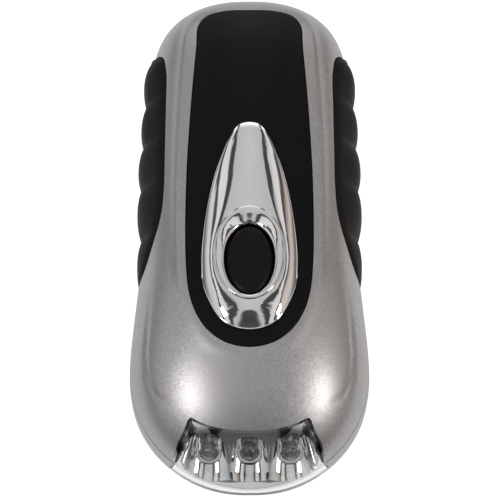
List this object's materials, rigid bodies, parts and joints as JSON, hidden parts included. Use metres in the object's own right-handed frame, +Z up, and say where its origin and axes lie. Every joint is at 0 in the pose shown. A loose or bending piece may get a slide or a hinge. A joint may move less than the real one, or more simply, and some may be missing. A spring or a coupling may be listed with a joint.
{
  "type": "hand crank flashlight",
  "caption": "Pocket flashlight with an arched body, a push button, rubber side grips and a crank under the body that charges its cells.",
  "frame": {"origin": "middle of the footprint, on the plane that the two feet stand on", "axes": "+Z up through the push button, -Y where the lamps look, +X to the right seen from behind"},
  "size_m": [0.06, 0.136, 0.0458],
  "materials": {
    "silver_paint": "satin metallic silver paint on moulded plastic",
    "black_satin": "satin black moulded plastic",
    "rubber": "matt black rubber",
    "chrome": "bright plating on plastic",
    "clear_plastic": "clear polished plastic",
    "lamp_resin": "clear cast resin",
    "black_plastic": "matt black moulded plastic",
    "nylon": "natural white nylon",
    "steel": "plain steel",
    "brass": "turned",
    "copper": "enamelled copper wire",
    "magnet": "sintered ferrite",
    "board": "green lacquered board",
    "sleeve": "shrunk plastic sleeve",
    "red_lead": "insulated lead",
    "black_lead": "insulated lead"
  },
  "bodies": {
    "root": {"upper_shell": "silver_paint", "lower_shell": "silver_paint", "top_panel": "black_satin", "chrome_bezel": "chrome", "grip_left": "rubber", "grip_right": "rubber", "case_screw_front_left": "steel", "case_screw_front_right": "steel", "case_screw_rear_left": "steel", "case_screw_rear_right": "steel", "lens": "clear_plastic", "reflector": "chrome", "lamp_left": "lamp_resin", "lamp_centre": "lamp_resin", "lamp_right": "lamp_resin", "lamp_board": "board", "switch_body": "black_plastic", "main_board": "board", "board_screw_left": "steel", "board_screw_right": "steel", "capacitor": "sleeve", "rectifier": "black_plastic", "cell_holder": "black_plastic", "cell_1": "sleeve", "cell_2": "sleeve", "cell_3": "sleeve", "cell_strip": "steel", "gear_plate": "steel", "first_axle": "steel", "second_axle": "steel", "plate_screw_left": "steel", "plate_screw_right": "steel", "plate_screw_front": "steel", "generator_can": "steel", "generator_coil": "copper", "shaft_bush": "brass", "lamp_lead_red": "red_lead", "lamp_lead_black": "black_lead", "cell_lead_red": "red_lead", "cell_lead_black": "black_lead", "generator_lead_red": "red_lead", "generator_lead_black": "black_lead"},
    "crank": {"crank_arm": "black_plastic", "crank_shaft": "steel", "crank_gear": "nylon", "hub_washer": "steel", "hub_screw": "steel", "hub_cap": "silver_paint", "knob_pin": "steel"},
    "first_wheel": {"first_gear": "nylon"},
    "second_wheel": {"second_gear": "nylon"},
    "rotor": {"rotor_magnet": "magnet", "rotor_shaft": "steel", "rotor_pinion": "brass"},
    "swivel": {"knob_swivel": "steel", "knob_rivet": "steel"},
    "knob": {"crank_knob": "black_plastic"},
    "button": {"switch_button": "black_plastic", "switch_plunger": "nylon"}
  },
  "joints": [
    {"name": "crank_spin", "type": "hinge", "parent": "root", "child": "crank", "pos_m": [0, 0.006, 0], "axis": [0, 0, 1], "continuous": true},
    {"name": "first_gear_spin", "type": "hinge", "parent": "root", "child": "first_wheel", "pos_m": [0.00724, -0.01048, 0], "axis": [0, 0, 1], "continuous": true},
    {"name": "second_gear_spin", "type": "hinge", "parent": "root", "child": "second_wheel", "pos_m": [-0.00276, -0.01799, 0], "axis": [0, 0, 1], "continuous": true},
    {"name": "rotor_spin", "type": "hinge", "parent": "root", "child": "rotor", "pos_m": [0.00572, -0.02647, 0], "axis": [0, 0, 1], "continuous": true},
    {"name": "knob_fold", "type": "hinge", "parent": "crank", "child": "swivel", "pos_m": [0, 0.046, 0.0056], "axis": [1, 0, 0], "range_deg": [0, 90]},
    {"name": "knob_spin", "type": "hinge", "parent": "swivel", "child": "knob", "pos_m": [0, 0.046, 0.0056], "axis": [0, 1, 0], "continuous": true},
    {"name": "button_press", "type": "slide", "parent": "root", "child": "button", "axis": [0, 0, -1], "range_m": [0, 0.0015], "stiffness_N_per_m": 1200, "springref_m": -0.0004}
  ],
  "couplings": [
    {"joint": "first_gear_spin", "follows": "crank_spin", "ratio": -4},
    {"joint": "second_gear_spin", "follows": "crank_spin", "ratio": 16},
    {"joint": "rotor_spin", "follows": "crank_spin", "ratio": -48}
  ]
}
